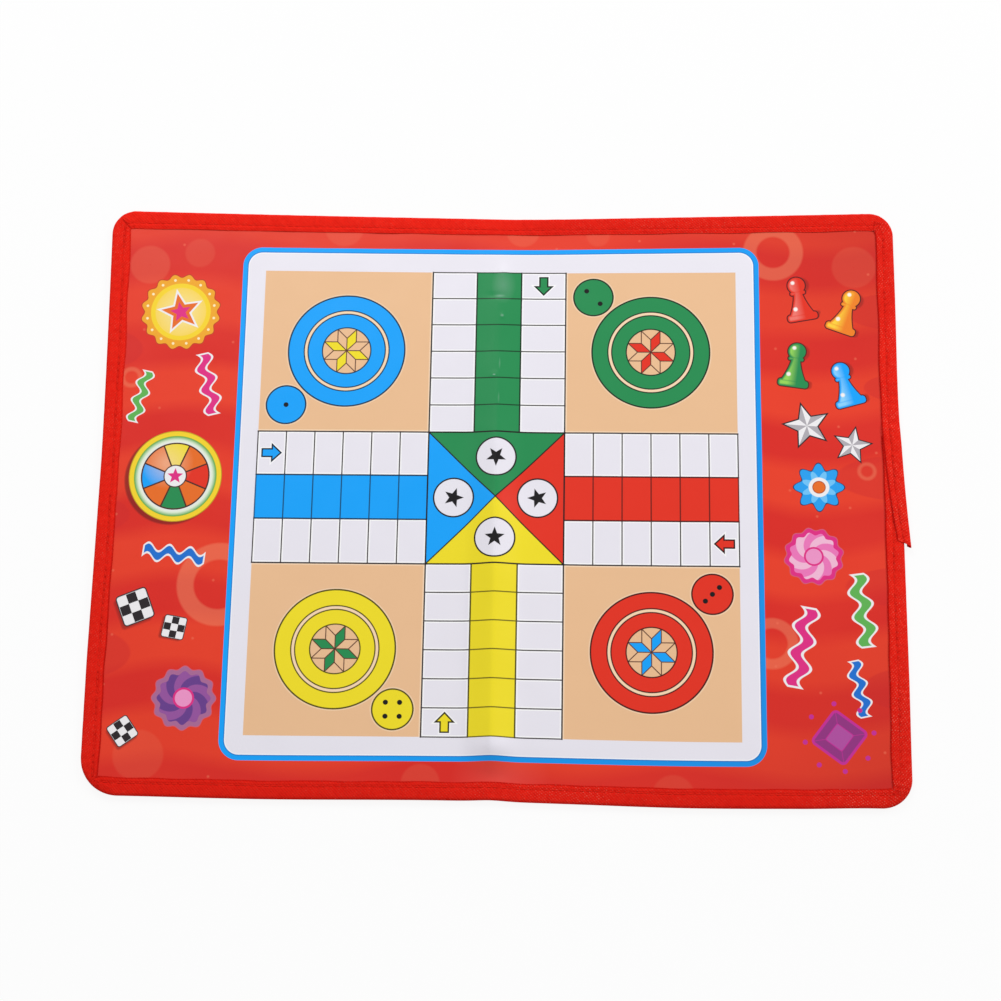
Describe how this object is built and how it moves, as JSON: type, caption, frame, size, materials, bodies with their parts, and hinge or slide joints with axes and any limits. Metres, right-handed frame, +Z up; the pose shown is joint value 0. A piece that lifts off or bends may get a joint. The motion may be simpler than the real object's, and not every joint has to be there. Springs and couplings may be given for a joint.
{
  "type": "folding ludo board",
  "caption": "Flat cloth-covered game board with a printed ludo field, bound with folded tape and hinged across its middle so that it folds in half.",
  "frame": {"origin": "middle of the fold line, on the surface that the open board lies on", "axes": "+X across the panels towards the side where the tape's end laps, +Y along the fold towards the rear, +Z up out of the printed face"},
  "size_m": [0.4804, 0.36, 0.0077],
  "materials": {
    "printed_sheet": "printed cloth under a satin film",
    "binding_tape": "point-bonded nonwoven cloth",
    "backing_cloth": "point-bonded nonwoven cloth",
    "card": "grey board",
    "thread": "spun sewing thread"
  },
  "bodies": {
    "left_panel": {"backing_left": "backing_cloth", "card_left": "card", "face_left": "printed_sheet", "face_ridge_left": "printed_sheet", "binding_left": "binding_tape", "needle_thread_left": "thread", "bobbin_thread_left": "thread", "backing_fold": "backing_cloth", "binding_fold_rear": "binding_tape", "binding_fold_front": "binding_tape", "needle_thread_fold_rear": "thread", "bobbin_thread_fold_rear": "thread", "needle_thread_fold_front": "thread", "bobbin_thread_fold_front": "thread"},
    "right_panel": {"backing_right": "backing_cloth", "card_right": "card", "face_right": "printed_sheet", "face_ridge_right": "printed_sheet", "binding_right_rear": "binding_tape", "binding_right_front": "binding_tape", "binding_lap": "binding_tape", "needle_thread_right": "thread", "bobbin_thread_right": "thread"}
  },
  "joints": [
    {"name": "fold_hinge", "type": "hinge", "parent": "left_panel", "child": "right_panel", "pos_m": [0, 0, 0.00405], "axis": [0, -1, 0], "range_deg": [0, 178], "deforming": ["face_ridge_left", "face_ridge_right", "backing_fold", "binding_fold_rear", "binding_fold_front", "needle_thread_fold_rear", "bobbin_thread_fold_rear", "needle_thread_fold_front", "bobbin_thread_fold_front"]}
  ]
}
